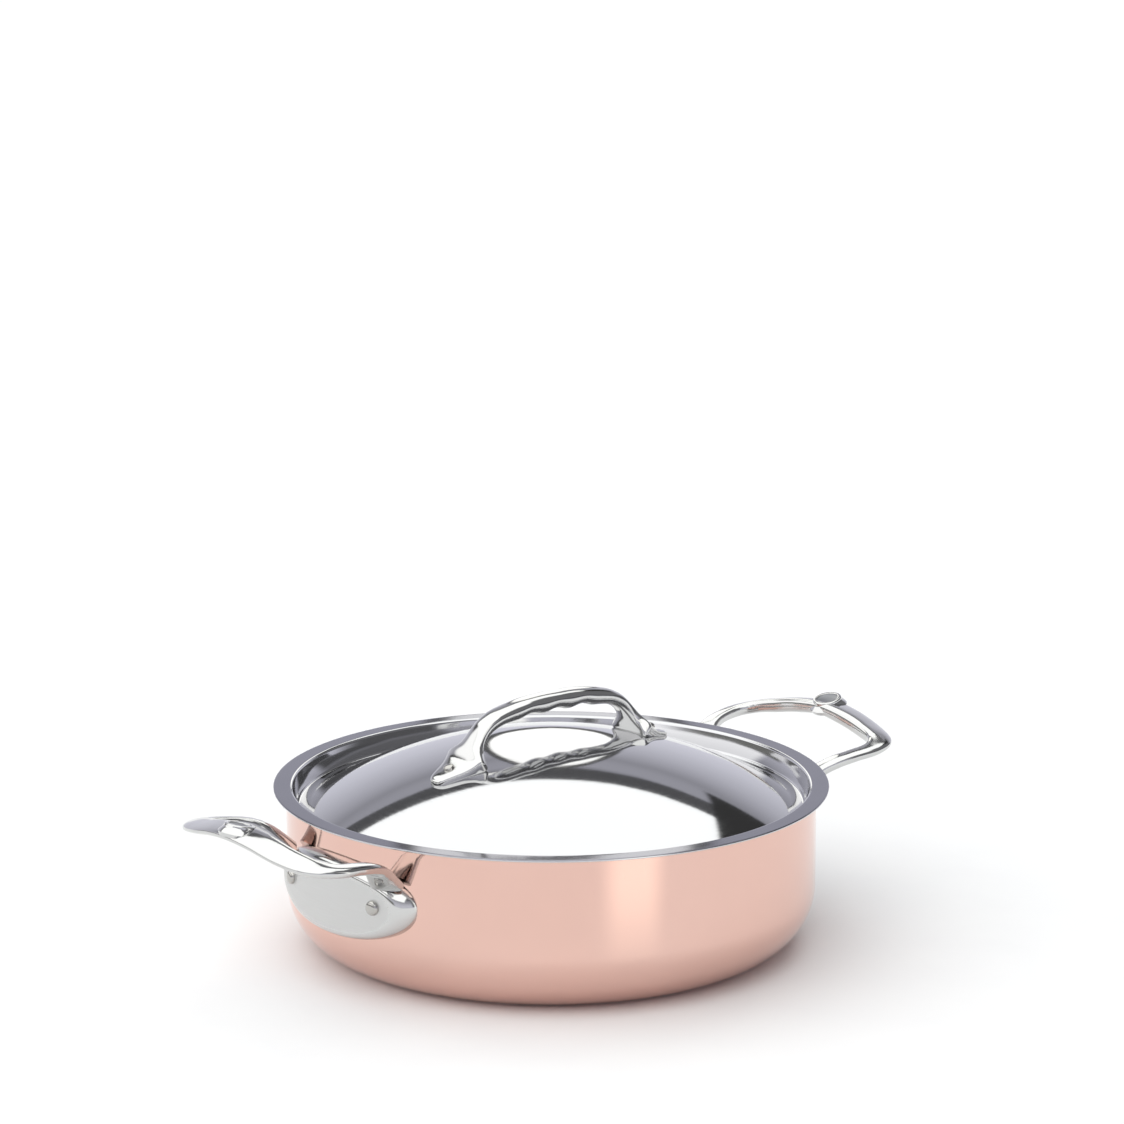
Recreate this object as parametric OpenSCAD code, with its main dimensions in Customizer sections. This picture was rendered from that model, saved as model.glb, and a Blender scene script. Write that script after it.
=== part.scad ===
// Low round copper saute pan with two cast side handles and a domed, drop-in steel lid.
// Origin: centre of the underside of the base. +Z up, +X through the right-hand side handle.

/* [Pan] */
// Outside radius of the pan wall
body_r = 122.2; // [100:0.1:150]
// Height of the pan rim above the surface it stands on
rim_z = 73.8; // [60:0.1:90]
// Outside radius of the corner between base and wall
corner_r = 28.5; // [15:0.5:35]
// Thickness of the copper
copper_t = 1.6; // [1.2:0.1:3]
// Thickness of the steel cooking surface inside the copper
lining_t = 0.4; // [0.3:0.1:1]

/* [Side handles] */
// Thickness of the riveted plate
plate_t = 7; // [4:0.5:9]
// Half width of the plate, seen square on
plate_half_w = 47.5; // [42:0.5:52]
// Height of the middle of the plate
plate_z = 46; // [42:1:48]
// Height of the plate above its middle
plate_up = 16.5; // [14:0.5:18]
// Height of the plate below its middle
plate_down = 19.2; // [14:0.2:20]
// Reach of the middle of the grip bar from the pan's axis
grip_x = 174.8; // [165:0.5:185]
// Height of the middle of the grip bar
grip_z = 82.2; // [76:0.5:90]
// Diameter of the round boss on the grip bar
boss_d = 14; // [10:0.5:16]

/* [Rivets] */
// Diameter of the side handle rivets' shanks
shank_d = 5; // [4:0.5:6]
// Diameter of their outside heads
head_d = 6.8; // [6.5:0.1:9]
// Height of their outside heads
head_h = 2.3; // [1.5:0.1:3]
// Diameter of their inside heads
inner_head_d = 10; // [8:0.5:12]
// Angle of each rivet from the middle of the plate
rivet_angle = 13.6; // [10:0.1:16]

/* [Lid] */
// Outside radius of the flat lid rim
flange_r = 128; // [124:0.5:135]
// Thickness of the lid sheet
lid_t = 1; // [0.7:0.1:1.3]
// Radius of the crease where the lid wall meets the gutter
crease_r = 116.9; // [113:0.1:118]
// Depth of the gutter below the flat rim
gutter_depth = 9.5; // [6:0.5:14]
// Radius where the dome leaves the gutter
dome_r = 112; // [105:0.5:114]
// Height of the dome's top above the flat rim
dome_rise = 20.6; // [12:0.2:30]
// Gap between the lid's flat rim and the pan's rim
seat_gap = 0.2; // [0.1:0.05:0.5]

/* [Lid handle] */
// Height of the arch's centre line above the flat lid rim
arch_rise = 38.4; // [34:0.2:46]
// Width of the grip
arch_w = 12.5; // [10:0.5:16]
// Thickness of the grip
arch_t = 8.4; // [6:0.2:10]
// Thickness of the two feet
foot_t = 3.4; // [2.5:0.1:4.5]
// Distance of each foot's rounded tip from the middle
foot_reach = 68.5; // [66:0.5:74]
// Half width of each foot at its wide end
foot_half_w = 13.5; // [11:0.5:18]
// Distance of each lid rivet from the middle
lid_rivet_x = 58.5; // [54:0.5:62]
// Diameter of the lid rivets' shanks
lid_shank_d = 4; // [3:0.5:5]
// Diameter of the lid rivets' upper heads
lid_head_d = 5.4; // [5:0.1:7]
// Height of the lid rivets' upper heads
lid_head_h = 2.2; // [1.5:0.1:3]

/* [Hidden] */

lining_r = body_r - copper_t;
inner_r = lining_r - lining_t;
plate_r = body_r + plate_t;
flange_z = rim_z + seat_gap + lid_t;
gutter_z = flange_z - gutter_depth;
dome_h = dome_rise + gutter_depth;
dome_R = (dome_r * dome_r + dome_h * dome_h) / (2 * dome_h);
dome_c = flange_z + dome_rise - dome_R;
dome_edge_angle = asin(dome_r / dome_R);
bend_x = inner_r + 0.25;
boss_h = 4.3;
oval = 0.9; // how square the ovals are: 1 is a true ellipse, smaller is squarer
bend_r = 1.5;
crease_bend_r = 1.4;
foot_x0 = 45.5;
foot_tip_r = 6;
reach_in = 20; // how far a cutter starts inside the pan wall
reach = 40; // and its length
inner_head_h = 1.8;
lid_inner_head_d = 9;
lid_inner_head_h = 1.2;
lid_rivet_tilt = asin(lid_rivet_x / dome_R);
loop_sides = 24;
loop_steps = 5;

copper = "#d9957c";
steel = "#c9c9ce";
satin = "#d4d4d8";

// Points along an arc of a circle, from angle a0 to angle a1, in n steps.
function arc(cx, cy, r, a0, a1, n) =
    [for (i = [0:n]) [cx + r * cos(a0 + (a1 - a0) * i / n), cy + r * sin(a0 + (a1 - a0) * i / n)]];

// Smooth curve through the given rows, with n steps between neighbours.
function through(rows, n) = let (last = len(rows) - 1) concat(
    [for (i = [0:last - 1], k = [0:n - 1])
        let (t = k / n, a = rows[max(i - 1, 0)], b = rows[i], c = rows[i + 1], d = rows[min(i + 2, last)])
        0.5 * (2 * b + (c - a) * t + (2 * a - 5 * b + 4 * c - d) * t * t
               + (3 * b - a - 3 * c + d) * t * t * t)],
    [rows[last]]);

function unit(v) = v / norm(v);
function reversed(list) = [for (i = [len(list) - 1:-1:0]) list[i]];
function power(v, p) = sign(v) * pow(abs(v), p);

// A closed solid through rings that all have the same number of points.
module skin_rings(rings) {
    n = len(rings[0]);
    m = len(rings);
    polyhedron(
        points = [for (ring = rings) each ring],
        faces = concat(
            [[for (j = [n - 1:-1:0]) j]],
            [for (i = [0:m - 2], j = [0:n - 1])
                each [[i * n + j, (i + 1) * n + (j + 1) % n, (i + 1) * n + j],
                      [i * n + j, i * n + (j + 1) % n, (i + 1) * n + (j + 1) % n]]],
            [[for (j = [0:n - 1]) (m - 1) * n + j]]),
        convexity = 6);
}

// Rings along a path. Each row is x, y, z, width, thickness and roll, and the section is a rounded
// oblong. The width is level and square to the path where turns is true, and along Y otherwise.
// A roll above zero lowers the outer edge.
function rings_along(rows, sides, turns) = let (last = len(rows) - 1)
    [for (i = [0:last])
        let (
            p = [rows[i][0], rows[i][1], rows[i][2]],
            before = rows[max(i - 1, 0)],
            after = rows[min(i + 1, last)],
            along = unit([after[0] - before[0], after[1] - before[1], after[2] - before[2]]),
            level = unit(turns ? cross(along, [0, 0, 1]) : [0, 1, 0]),
            up = unit(cross(level, along)),
            roll = rows[i][5],
            across = level * cos(roll) + up * sin(roll),
            rise = up * cos(roll) - level * sin(roll))
        [for (j = [0:sides - 1])
            let (a = 360 * j / sides)
            p + across * rows[i][3] / 2 * power(cos(a), 0.8) + rise * rows[i][4] / 2 * power(sin(a), 0.8)]];

// Outline of the pan's outside from the axis to the rim, moved inwards by t.
function pan_outline(t) = concat(
    [[0, t]],
    arc(body_r - corner_r, corner_r, corner_r - t, 270, 360, 24),
    [[body_r - t, rim_z]]);

module copper_body() {
    color(copper)
    difference() {
        rotate_extrude($fn = 180)
            polygon(concat(pan_outline(0), reversed(pan_outline(copper_t))));
        rivet_bores();
    }
}

module steel_lining() {
    color(steel)
    difference() {
        rotate_extrude($fn = 180)
            polygon(concat(pan_outline(copper_t), reversed(pan_outline(copper_t + lining_t))));
        rivet_bores();
    }
}

// Places its children on the axis of one rivet, z pointing away from the pan.
module at_rivet(side, end) {
    rotate([0, 0, (side > 0 ? 0 : 180) + side * end * rivet_angle])
        translate([0, 0, plate_z]) rotate([0, 90, 0]) children();
}

module rivet_bores() {
    for (side = [-1, 1], end = [-1, 1]) at_rivet(side, end)
        translate([0, 0, body_r - reach_in]) cylinder(d = shank_d, h = reach, $fn = 48);
}

// Half of the grip loop, from the plate to the middle of the bar: x, y, z, width, thickness, roll.
loop_half = [
    [124, 37, 56, 17, 7, 0],
    [128.6, 39.5, 63, 13, 6.4, 0],
    [135, 43.8, 68.6, 9.5, 5.4, 3],
    [146, 47.6, 71.5, 8.5, 5, 5],
    [158.5, 48.6, 73.1, 9.5, 5.4, 5],
    [167.8, 43.2, 74.8, 12, 6, 10],
    [172.2, 30.5, 77.3, 13.5, 6.5, 10],
    [grip_x - 0.8, 15, grip_z - 1.7, 14.5, 7, 6],
    [grip_x, 0, grip_z, 15, 7.2, 0]];
// The rows of a half path followed by their mirror image, in reverse, with column k negated.
function mirrored(rows, k) = concat(rows,
    [for (i = [len(rows) - 2:-1:0]) [for (c = [0:5]) c == k ? -rows[i][c] : rows[i][c]]]);

// Rounded outline of the plate: its upper and lower halves are parts of two flattened ovals.
function plate_outline(n) = [for (i = [0:n - 1])
    let (a = 360 * i / n, s = power(sin(a), oval))
    [plate_half_w * power(cos(a), oval), plate_z + s * (s > 0 ? plate_up : plate_down)]];

module grip_loop() {
    skin_rings(rings_along(through(mirrored(loop_half, 1), loop_steps), loop_sides, true));
}

module side_handle(side) {
    color(satin)
    rotate([0, 0, side > 0 ? 0 : 180])
    difference() {
        union() {
            intersection() {
                cylinder(r = plate_r, h = rim_z, $fn = 180);
                translate([body_r - reach_in, 0, 0]) rotate([90, 0, 90])
                    linear_extrude(reach) polygon(plate_outline(72));
            }
            grip_loop();
            translate([grip_x, 0, grip_z]) cylinder(d = boss_d, h = boss_h, $fn = 48);
        }
        translate([0, 0, -1]) cylinder(r = body_r, h = rim_z + 20, $fn = 180);
        rivet_bores();
    }
}
module right_handle() { side_handle(1); }
module left_handle() { side_handle(-1); }

// Low round rivet head with its flat side at z = 0.
module dome_head(d, h) {
    R = (d * d / 4 + h * h) / (2 * h);
    intersection() {
        translate([0, 0, h - R]) sphere(r = R, $fn = 64);
        cylinder(d = d + 1, h = h + 1, $fn = 48);
    }
}

module handle_rivet(side, end) {
    color(steel)
    union() {
        at_rivet(side, end) translate([0, 0, inner_r - 0.5])
            cylinder(d = shank_d, h = plate_r - inner_r + 1, $fn = 48);
        difference() {
            at_rivet(side, end) translate([0, 0, plate_r - 0.2]) dome_head(head_d, head_h);
            cylinder(r = plate_r, h = rim_z, $fn = 180);
        }
        intersection() {
            at_rivet(side, end) translate([0, 0, inner_r + 0.2]) mirror([0, 0, 1])
                dome_head(inner_head_d, inner_head_h);
            cylinder(r = inner_r, h = rim_z, $fn = 180);
        }
    }
}
module right_handle_rivet_front() { handle_rivet(1, -1); }
module right_handle_rivet_rear() { handle_rivet(1, 1); }
module left_handle_rivet_front() { handle_rivet(-1, 1); }
module left_handle_rivet_rear() { handle_rivet(-1, -1); }

// Upper side of the lid from the rim in to the axis, moved down and inwards by t: flat rim, bend,
// wall, crease, gutter and dome.
function lid_outline(t) = concat(
    [[flange_r, flange_z - t]],
    arc(bend_x, flange_z - bend_r, bend_r - t, 90, 170, 8),
    arc(crease_r - crease_bend_r, gutter_z + crease_bend_r, crease_bend_r + t, -10, -80, 6),
    [for (i = [0:40]) let (a = dome_edge_angle * (1 - i / 40))
        [(dome_R - t) * sin(a), dome_c + (dome_R - t) * cos(a)]]);

module lid_shell() {
    color(steel)
    difference() {
        rotate_extrude($fn = 180) polygon(concat(lid_outline(0), reversed(lid_outline(lid_t))));
        lid_bores();
    }
}

module at_lid_rivet(side) {
    rotate([0, 0, side > 0 ? 0 : 180]) translate([0, 0, dome_c]) rotate([0, lid_rivet_tilt, 0])
        children();
}
module lid_bores() {
    for (side = [-1, 1]) at_lid_rivet(side)
        translate([0, 0, dome_R - 15]) cylinder(d = lid_shank_d, h = 35, $fn = 48);
}

// Half of the arch, from a foot to the middle: x, y, z, width, thickness, roll.
arch_half = [
    [51.5, 0, flange_z + 11, 26, 5, 0],
    [48.8, 0, flange_z + 17.5, 18, 5, 0],
    [45.2, 0, flange_z + 25, 12, 5.6, 0],
    [39.6, 0, flange_z + 31.8, 11, 6.8, 0],
    [29.5, 0, flange_z + arch_rise - 2.6, 12, 7.8, 0],
    [15, 0, flange_z + arch_rise - 0.5, arch_w, arch_t, 0],
    [0, 0, flange_z + arch_rise, arch_w, arch_t, 0]];

// Outline of a foot, a blunt triangle with a round tip, seen from above.
function foot_outline() = concat(
    [[foot_x0, -foot_half_w], [foot_x0 + 4, -foot_half_w]],
    arc(foot_reach - foot_tip_r, 0, foot_tip_r, -62, 62, 16),
    [[foot_x0 + 4, foot_half_w], [foot_x0, foot_half_w]]);

module lid_handle() {
    color(steel)
    difference() {
        union() {
            skin_rings(rings_along(through(mirrored(arch_half, 0), loop_steps), loop_sides, false));
            intersection() {
                translate([0, 0, dome_c]) sphere(r = dome_R + foot_t, $fn = 180);
                for (turn = [0, 180]) rotate([0, 0, turn])
                    translate([0, 0, gutter_z]) linear_extrude(60) polygon(foot_outline());
            }
        }
        rotate_extrude($fn = 180) polygon(concat(
            [for (p = lid_outline(0)) if (p[0] < dome_r - 1) p], [[0, 0], [dome_r - 1, 0]]));
        lid_bores();
    }
}

// Height above the dome's centre of a point r from the rivet's axis on a sphere of radius R.
function on_sphere(R, r) = sqrt(R * R - r * r);
// Outline of a low round head from its edge to its middle, on a seat at height z.
function head_arc(d, h, z, n) = let (R = (d * d / 4 + h * h) / (2 * h), a = acos((R - h) / R))
    [for (i = [0:n]) [R * sin(a * (1 - i / n)), z + h - R + R * cos(a * (1 - i / n))]];

module lid_rivet(side) {
    seat = dome_R + foot_t;
    under = dome_R - lid_t;
    r = lid_shank_d / 2;
    upper = head_arc(lid_head_d, lid_head_h, on_sphere(seat, lid_head_d / 2), 8);
    lower = [for (p = head_arc(lid_inner_head_d, lid_inner_head_h, 0, 8))
        [p[0], on_sphere(under, lid_inner_head_d / 2) - p[1]]];
    color(steel)
    at_lid_rivet(side) rotate_extrude($fn = 64) polygon(concat(
        reversed(lower), [[r, on_sphere(under, r)], [r, on_sphere(seat, r)]], upper));
}
module right_lid_rivet() { lid_rivet(1); }
module left_lid_rivet() { lid_rivet(-1); }

copper_body();
steel_lining();
right_handle();
left_handle();
right_handle_rivet_front();
right_handle_rivet_rear();
left_handle_rivet_front();
left_handle_rivet_rear();
lid_shell();
lid_handle();
right_lid_rivet();
left_lid_rivet();
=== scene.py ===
import bpy
import numpy as np
from bpy.props import FloatProperty, FloatVectorProperty, PointerProperty
from bpy.types import Operator, Panel, PropertyGroup
from mathutils import Matrix, Vector


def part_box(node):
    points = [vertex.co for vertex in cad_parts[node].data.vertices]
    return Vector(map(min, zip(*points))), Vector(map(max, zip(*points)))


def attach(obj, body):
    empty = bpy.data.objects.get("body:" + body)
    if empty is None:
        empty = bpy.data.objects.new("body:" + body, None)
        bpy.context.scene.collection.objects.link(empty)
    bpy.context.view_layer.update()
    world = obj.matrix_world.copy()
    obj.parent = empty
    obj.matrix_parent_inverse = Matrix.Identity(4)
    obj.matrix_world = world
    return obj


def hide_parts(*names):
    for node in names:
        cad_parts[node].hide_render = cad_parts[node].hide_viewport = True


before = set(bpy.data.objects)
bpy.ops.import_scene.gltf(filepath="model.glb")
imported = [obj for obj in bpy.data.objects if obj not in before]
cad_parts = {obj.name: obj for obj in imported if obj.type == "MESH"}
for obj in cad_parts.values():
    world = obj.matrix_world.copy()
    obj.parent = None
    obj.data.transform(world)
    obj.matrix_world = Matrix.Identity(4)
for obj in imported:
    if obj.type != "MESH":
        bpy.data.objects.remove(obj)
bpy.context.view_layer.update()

bl_info = {
    "name": "Saute pan with lid",
    "version": (1, 0, 0),
    "blender": (4, 5, 0),
    "location": "3D View > Sidebar > Saute pan",
    "description": "Builds a copper saute pan with a domed steel lid, piece by piece",
    "category": "Add Mesh",
}

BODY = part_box("copper_body")[1]
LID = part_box("lid_shell")[1]
MM = 0.001
SHARP_EDGE = np.radians(35)


# ---------------------------------------------------------------- surfaces


def arc(cx, cy, r, a0, a1, n):
    """n + 1 points on a circle round (cx, cy) from angle a0 to a1 in degrees, as rows of x and y."""
    a = np.radians(np.linspace(a0, a1, n + 1))
    return np.stack([cx + r * np.cos(a), cy + r * np.sin(a)], 1)


def spline(rows, steps):
    """Catmull-Rom curve through the rows, with steps points for each stretch between two of them."""
    rows = np.asarray(rows, float)
    a = np.concatenate([rows[:1], rows[:-2]])
    b, c = rows[:-1], rows[1:]
    d = np.concatenate([rows[2:], rows[-1:]])
    t = (np.arange(steps) / steps)[None, :, None]
    a, b, c, d = (x[:, None, :] for x in (a, b, c, d))
    curve = 0.5 * (2 * b + (c - a) * t + (2 * a - 5 * b + 4 * c - d) * t**2 + (3 * b - a - 3 * c + d) * t**3)
    return np.concatenate([curve.reshape(-1, rows.shape[1]), rows[-1:]])


def mirrored(rows, *columns):
    """The rows followed by their mirror image in reverse, with the given columns negated."""
    back = np.array(rows[-2::-1], float)
    back[:, list(columns)] *= -1
    return np.concatenate([np.array(rows, float), back])


def unit(v):
    """Vectors of length one along the last axis."""
    return v / np.linalg.norm(v, axis=-1, keepdims=True)


def bulge(turn, power):
    """Cosine and sine of the turn raised to a power, signs kept: 1 is an ellipse and less is squarer."""
    c, s = np.cos(turn), np.sin(turn)
    return np.sign(c) * np.abs(c) ** power, np.sign(s) * np.abs(s) ** power


def turned(profile, turns, place=None):
    """A surface of revolution: each profile row (radius, height) carried round the z axis in turns steps.
    Rows at radius 0 become poles. place is a matrix that takes it to its place."""
    profile = np.asarray(profile, float)
    caps = [None, None]
    if profile[0, 0] < 1e-9:
        caps[0], profile = np.array([0, 0, profile[0, 1]]), profile[1:]
    if profile[-1, 0] < 1e-9:
        caps[1], profile = np.array([0, 0, profile[-1, 1]]), profile[:-1]
    a = np.linspace(0, 2 * np.pi, turns, endpoint=False)
    r, z = profile[:, :1], profile[:, 1:]
    points = np.stack([r * np.cos(a), r * np.sin(a), z + 0 * a], -1)
    if place is not None:
        m = np.array(place)
        points = points @ m[:3, :3].T + m[:3, 3]
        caps = [None if c is None else m[:3, :3] @ c + m[:3, 3] for c in caps]
    return {"points": points, "caps": caps, "ring": caps[0] is None and caps[1] is None}


def strap(rows, sides, power):
    """A rounded oblong carried along a path. Rows are x, y, z, width, thickness, roll in degrees and wedge:
    the width lies level and square to the path, a roll above zero lowers the outer edge, and the wedge
    makes the section thicker towards its outer edge by that share."""
    p, w, t, roll, wedge = rows[:, :3], rows[:, 3:4], rows[:, 4:5], np.radians(rows[:, 5:6]), rows[:, 6:7]
    along = unit(np.gradient(p, axis=0))
    level = unit(np.cross(along, [0, 0, 1.0]))
    up = unit(np.cross(level, along))
    across = level * np.cos(roll) + up * np.sin(roll)
    rise = up * np.cos(roll) - level * np.sin(roll)
    c, s = bulge(np.linspace(0, 2 * np.pi, sides, endpoint=False), power)
    points = (
        p[:, None]
        + across[:, None] * (w / 2 * c)[:, :, None]
        + rise[:, None] * (t / 2 * s * (1 + wedge * c))[:, :, None]
    )
    return {"points": points, "caps": [p[0], p[-1]]}


def between(rows, sides):
    """A rounded oblong that spans two guide curves in the XZ plane. Rows are the outer guide's x and z, the
    inner guide's x and z, the half width along Y and the power of the oblong's outer and inner half."""
    xo, zo, xi, zi, w, outer, inner = (rows[:, k, None] for k in range(7))
    turn = np.linspace(0, 2 * np.pi, sides, endpoint=False)[None]
    c, s = bulge(turn, np.where(turn > np.pi, inner, outer))
    points = np.stack(
        [(xo + xi) / 2 + (xo - xi) / 2 * s, w * c, (zo + zi) / 2 + (zo - zi) / 2 * s], -1
    )
    return {"points": points, "caps": [points[0].mean(0), points[-1].mean(0)]}


def sheet_faces(sheet, start):
    """Quads of a grid that closes round each ring, with fans to its poles, or joined end to end as a ring."""
    m, n = sheet["points"].shape[:2]
    i, j = np.meshgrid(np.arange(m if sheet.get("ring") else m - 1), np.arange(n), indexing="ij")
    i2, j2 = (i + 1) % m, (j + 1) % n
    quads = np.stack([i * n + j, i * n + j2, i2 * n + j2, i2 * n + j], -1).reshape(-1, 4) + start
    points = [sheet["points"].reshape(-1, 3)]
    fans, k, j = [], m * n + start, np.arange(n)
    for cap, row, flip in zip(sheet["caps"], (0, m - 1), (True, False)):
        if cap is not None:
            points.append(np.asarray(cap, float)[None])
            rim = row * n + start
            a, b = rim + j, rim + (j + 1) % n
            fans.append(np.stack([np.full(n, k), b, a] if flip else [np.full(n, k), a, b], -1))
            k += 1
    points = np.concatenate(points)
    q = points[quads - start]
    volume = np.einsum("ij,ij->", np.cross(q[:, 1] - q[:, 0], q[:, 2] - q[:, 0]), q[:, 0])
    volume += np.einsum("ij,ij->", np.cross(q[:, 2] - q[:, 0], q[:, 3] - q[:, 0]), q[:, 0])
    faces = [quads] + fans
    if volume < 0:
        faces = [f[:, ::-1] for f in faces]
    return points, faces


def make_piece(name, sheets, material, body, node):
    """Puts closed sheets into one mesh, with their satin marks as an attribute, and places it on the frame."""
    points, faces, satin, start = [], [], [], 0
    for sheet in sheets:
        p, f = sheet_faces(sheet, start)
        m, n = sheet["points"].shape[:2]
        marks = np.broadcast_to(sheet.get("satin", 0.0), (m, n)).ravel()
        satin.append(np.concatenate([marks, np.full(len(p) - m * n, marks[0])]))
        points.append(p)
        faces += [row for part in f for row in part.tolist()]
        start += len(p)
    mesh = bpy.data.meshes.new(name)
    mesh.from_pydata(np.concatenate(points).tolist(), [], faces)
    if mesh.validate():
        raise RuntimeError(name + " has faces that Blender had to mend")
    mark = mesh.attributes.new("satin", "FLOAT", "POINT")
    mark.data.foreach_set("value", np.concatenate(satin).astype(np.float32))
    mesh.shade_smooth()
    mesh.set_sharp_from_angle(angle=SHARP_EDGE)
    mesh.materials.append(material)
    piece = bpy.data.objects.new(name, mesh)
    bpy.context.scene.collection.objects.link(piece)
    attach(piece, body)
    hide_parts(node)


# --------------------------------------------------------------- materials

# the part of a noise's range that a gloss is spread over
NOISE = {"From Min": 0.3, "From Max": 0.7}


def colour(text):
    """An sRGB hex colour as linear red, green, blue and alpha."""
    v = np.array([int(text[k : k + 2], 16) for k in (1, 3, 5)]) / 255
    v = np.where(v <= 0.04045, v / 12.92, ((v + 0.055) / 1.055) ** 2.4)
    return (*v.tolist(), 1.0)


def add(tree, kind, values=None, links=None, **options):
    """Adds one node: options are its own settings, values its inputs' numbers, links what feeds them."""
    node = tree.nodes.new("ShaderNode" + kind)
    for key, value in options.items():
        setattr(node, key, value)
    for key, value in (values or {}).items():
        node.inputs[key].default_value = value
    for key, output in (links or {}).items():
        tree.links.new(output, node.inputs[key])
    return node


def start_material(name):
    """A new empty material, its node tree and the object coordinates."""
    material = bpy.data.materials.new(name)
    material.use_nodes = True
    material.node_tree.nodes.clear()
    return material, material.node_tree, add(material.node_tree, "TexCoord").outputs["Object"]


def finished(material, values, links):
    """Gives a material its shader, with its plain numbers and what feeds the rest, and its output."""
    shader = add(material.node_tree, "BsdfPrincipled", values, links)
    add(material.node_tree, "OutputMaterial", links={"Surface": shader.outputs[0]})
    return material


def round_the_axis(tree, place):
    """Coordinates for spun work: distance from the axis, height, and a little of x, so that a noise read
    on them runs round the axis in long lines."""
    flat = add(tree, "VectorMath", {1: (1, 1, 0)}, {0: place}, operation="MULTIPLY")
    radius = add(tree, "VectorMath", links={0: flat.outputs[0]}, operation="LENGTH")
    axes = add(tree, "SeparateXYZ", links={0: place})
    drift = add(tree, "Math", {1: 0.004}, {0: axes.outputs[0]}, operation="MULTIPLY")
    return add(
        tree, "CombineXYZ", links={0: radius.outputs["Value"], 1: axes.outputs[2], 2: drift.outputs[0]}
    ).outputs[0]


def copper_material(finish):
    """Solid copper, spun and machine polished. The wheel runs round the wall, so lights stand up in it as
    tall soft bands, and the red metal shows fine level lines and a faint change of tint from handling."""
    material, tree, place = start_material("polished_copper_spun")
    # buffing lines 0.1 mm apart, drawn 0.6 mm apart so that they show
    lines = add(tree, "TexNoise", {"Scale": 1600.0, "Detail": 3.0}, {"Vector": round_the_axis(tree, place)})
    # tint that drifts over about 60 mm
    drift = add(tree, "TexNoise", {"Scale": 16.0, "Detail": 2.0}, {"Vector": place})
    tint = add(tree, "Mix", {6: finish.copper_light, 7: finish.copper_deep}, {0: drift.outputs[0]},
               data_type="RGBA")
    gloss = add(tree, "MapRange", {**NOISE, "To Min": 0.07, "To Max": 0.11}, {"Value": lines.outputs[0]})
    bump = add(tree, "Bump", {"Strength": 0.05, "Distance": 0.0001}, {"Height": lines.outputs[0]})
    turn = add(tree, "Tangent", direction_type="RADIAL", axis="Z")
    return finished(material, {"Metallic": 1.0, "Anisotropic": 0.6, "Anisotropic Rotation": 0.25},
                    {"Base Color": tint.outputs[2], "Roughness": gloss.outputs[0],
                     "Normal": bump.outputs[0], "Tangent": turn.outputs[0]})


def lining_material(finish):
    """Stainless steel lining, brushed round the inside of the pan: a grey sheen with close circular lines."""
    material, tree, place = start_material("brushed_steel_lining")
    # brush lines 0.15 mm apart, drawn 0.7 mm apart
    lines = add(tree, "TexNoise", {"Scale": 1400.0, "Detail": 4.0}, {"Vector": round_the_axis(tree, place)})
    gloss = add(tree, "MapRange", {**NOISE, "To Min": 0.26, "To Max": 0.38}, {"Value": lines.outputs[0]})
    bump = add(tree, "Bump", {"Strength": 0.25, "Distance": 0.0001}, {"Height": lines.outputs[0]})
    turn = add(tree, "Tangent", direction_type="RADIAL", axis="Z")
    return finished(material, {"Metallic": 1.0, "Anisotropic": 0.5, "Anisotropic Rotation": 0.25,
                               "Base Color": finish.steel},
                    {"Roughness": gloss.outputs[0], "Normal": bump.outputs[0], "Tangent": turn.outputs[0]})


def lid_material(finish):
    """Stainless sheet, pressed and mirror polished. The dome shows the room with soft edges and a slight
    swim from the pressing, and the flat rim is left a little duller, with lines that run round it. The
    flat rim is also coloured a darker grey, as painted shade for the darker part of the room it reflects."""
    material, tree, place = start_material("mirror_polished_steel_lid")
    # polishing lines 0.1 mm apart, drawn 0.7 mm apart
    lines = add(tree, "TexNoise", {"Scale": 1500.0, "Detail": 3.0}, {"Vector": round_the_axis(tree, place)})
    # pressing leaves waves about 25 mm across and a few microns deep
    waves = add(tree, "TexNoise", {"Scale": 38.0, "Detail": 1.0}, {"Vector": place})
    mark = add(tree, "Attribute", attribute_name="satin").outputs["Fac"]
    dull = add(tree, "Math", {1: 0.05}, {0: mark}, operation="MULTIPLY")
    shine = add(tree, "MapRange", {**NOISE, "To Min": 0.045, "To Max": 0.075}, {"Value": lines.outputs[0]})
    gloss = add(tree, "Math", links={0: dull.outputs[0], 1: shine.outputs[0]}, operation="ADD")
    swim = add(tree, "Bump", {"Strength": 0.10, "Distance": 0.0006}, {"Height": waves.outputs[0]})
    bump = add(tree, "Bump", {"Strength": 0.03, "Distance": 0.0001},
               {"Height": lines.outputs[0], "Normal": swim.outputs[0]})
    # painted shade: the satin mark swaps the steel for a darker grey on the flat rim, standing in for the
    # darker room that the rim reflects
    tone = add(tree, "Mix", {6: finish.steel, 7: finish.rim_steel}, {0: mark}, data_type="RGBA")
    return finished(material, {"Metallic": 1.0},
                    {"Base Color": tone.outputs[2], "Roughness": gloss.outputs[0], "Normal": bump.outputs[0]})


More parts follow.
